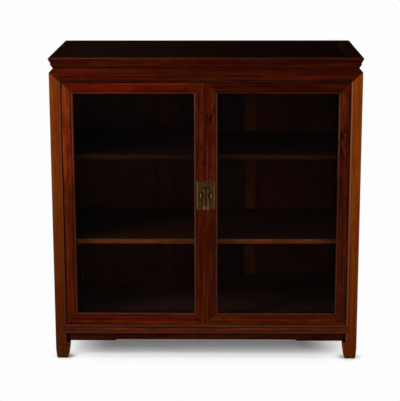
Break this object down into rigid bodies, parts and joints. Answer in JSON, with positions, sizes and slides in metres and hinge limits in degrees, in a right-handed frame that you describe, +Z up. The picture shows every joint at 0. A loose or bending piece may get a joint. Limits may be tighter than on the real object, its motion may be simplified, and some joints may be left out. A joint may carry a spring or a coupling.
{
  "type": "display cabinet",
  "caption": "Hardwood display cabinet with a mitred top over a moulded waist, glazed doors on pin pivots, shelves and a brass lock plate with drop pulls.",
  "frame": {"origin": "on the floor, under the middle of the top", "axes": "+Z up, -Y towards the front where the doors are, +X to the right seen from the front"},
  "size_m": [0.96, 0.497, 0.962],
  "materials": {
    "red_wood": "satin lacquer, fine figure",
    "post_wood": "satin lacquer, lighter",
    "dark_wood": "satin lacquer, dark",
    "brass": "aged, dull",
    "glass": "clear float glass"
  },
  "bodies": {
    "carcass": {"top_rail_front": "red_wood", "top_rail_back": "red_wood", "top_rail_left": "red_wood", "top_rail_right": "red_wood", "top_panel": "dark_wood", "top_battens": "dark_wood", "frieze_front": "red_wood", "frieze_back": "red_wood", "frieze_left": "red_wood", "frieze_right": "red_wood", "post_front_left": "post_wood", "post_front_right": "post_wood", "post_back_left": "post_wood", "post_back_right": "post_wood", "head_rail": "dark_wood", "base_rail_front": "red_wood", "base_rail_back": "red_wood", "base_rail_left": "red_wood", "base_rail_right": "red_wood", "apron_front": "dark_wood", "apron_left": "dark_wood", "apron_right": "dark_wood", "bottom_board": "red_wood", "side_panel_left": "red_wood", "side_panel_right": "red_wood", "back_rail_upper": "red_wood", "back_rail_lower": "red_wood", "back_muntin_left": "red_wood", "back_muntin_right": "red_wood", "back_panel_left": "red_wood", "back_panel_middle": "red_wood", "back_panel_right": "red_wood", "shelf_upper": "red_wood", "shelf_lower": "red_wood", "shelf_bearers_left": "red_wood", "shelf_bearers_right": "red_wood"},
    "door_left": {"door_left_hinge_stile": "red_wood", "door_left_meeting_stile": "red_wood", "door_left_top_rail": "red_wood", "door_left_lower_rail": "red_wood", "door_left_glass": "glass", "door_left_glazing_beads": "dark_wood", "door_left_pivots": "brass", "door_left_lock_plate": "brass", "door_left_lock_loop": "brass", "door_left_pull_staple": "brass", "door_left_nails": "brass"},
    "pull_left": {"door_left_pull": "brass"},
    "door_right": {"door_right_hinge_stile": "red_wood", "door_right_meeting_stile": "red_wood", "door_right_top_rail": "red_wood", "door_right_lower_rail": "red_wood", "door_right_glass": "glass", "door_right_glazing_beads": "dark_wood", "door_right_pivots": "brass", "door_right_lock_plate": "brass", "door_right_lock_loop": "brass", "door_right_pull_staple": "brass", "door_right_nails": "brass"},
    "pull_right": {"door_right_pull": "brass"}
  },
  "joints": [
    {"name": "door_left_hinge", "type": "hinge", "parent": "carcass", "child": "door_left", "pos_m": [-0.4365, -0.2345, 0.5], "axis": [0, 0, -1], "range_deg": [0, 95]},
    {"name": "door_right_hinge", "type": "hinge", "parent": "carcass", "child": "door_right", "pos_m": [0.4365, -0.2345, 0.5], "axis": [0, 0, 1], "range_deg": [0, 95]},
    {"name": "pull_left_swing", "type": "hinge", "parent": "door_left", "child": "pull_left", "pos_m": [-0.0058, -0.2452, 0.5575], "axis": [-1, 0, 0], "range_deg": [0, 170]},
    {"name": "pull_right_swing", "type": "hinge", "parent": "door_right", "child": "pull_right", "pos_m": [0.0058, -0.2452, 0.5575], "axis": [-1, 0, 0], "range_deg": [0, 170]}
  ]
}
